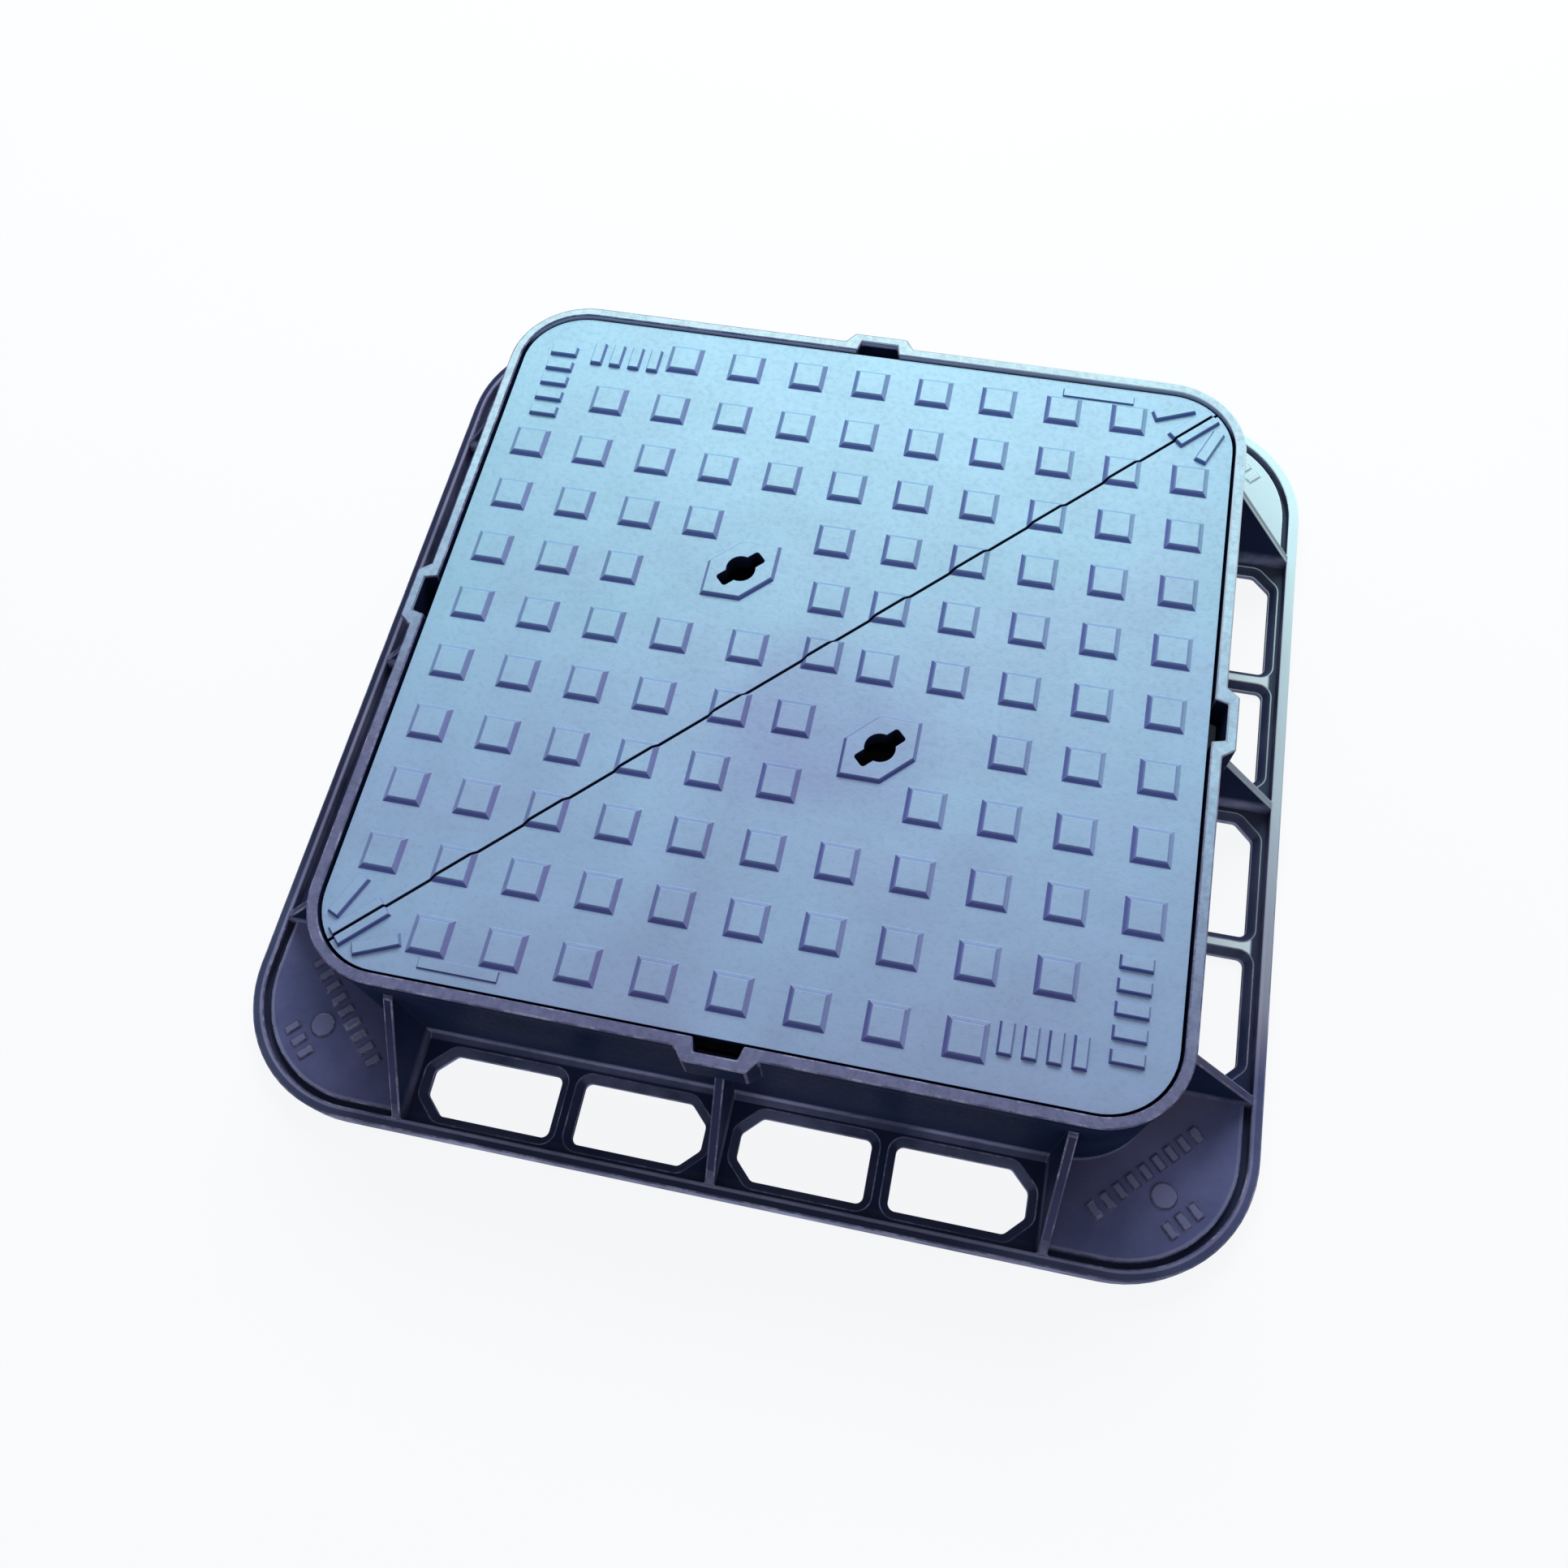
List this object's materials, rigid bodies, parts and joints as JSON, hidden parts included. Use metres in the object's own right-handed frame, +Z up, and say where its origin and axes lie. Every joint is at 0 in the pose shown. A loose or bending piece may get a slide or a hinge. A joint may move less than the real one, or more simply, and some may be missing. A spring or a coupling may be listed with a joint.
{
  "type": "manhole cover",
  "caption": "Square ductile iron access cover in two coupled triangular halves, studded on top, seated in a deep frame with a windowed bedding flange.",
  "frame": {"origin": "centre of the frame's underside, on the surface that the frame beds on", "axes": "+Z up through the covers; +X and +Y square to the frame's sides; the split between the cover halves runs from the (-X, -Y) corner to the (+X, +Y) corner"},
  "size_m": [0.82, 0.82, 0.15],
  "materials": {
    "frame_iron": "black coated casting, satin",
    "cover_iron": "blue-grey coated casting, satin, sky-lit",
    "cup_plastic": "black, matt",
    "fastener_steel": "dull zinc plated"
  },
  "bodies": {
    "frame": {"frame": "frame_iron"},
    "left_cover": {"cover_half_left": "cover_iron", "key_cup_left": "cup_plastic", "coupling_bolt_1": "fastener_steel", "coupling_bolt_2": "fastener_steel", "coupling_nut_1": "fastener_steel", "coupling_nut_2": "fastener_steel", "head_washer_1": "fastener_steel", "head_washer_2": "fastener_steel", "nut_washer_1": "fastener_steel", "nut_washer_2": "fastener_steel"},
    "right_cover": {"cover_half_right": "cover_iron", "key_cup_right": "cup_plastic"}
  },
  "joints": [
    {"name": "cover_lift", "type": "slide", "parent": "frame", "child": "left_cover", "axis": [0, 0, 1], "range_m": [0, 0.25]},
    {"name": "cover_fold", "type": "hinge", "parent": "left_cover", "child": "right_cover", "pos_m": [0, 0, 0.097], "axis": [-0.7071, -0.7071, 0], "range_deg": [0, 2]}
  ]
}
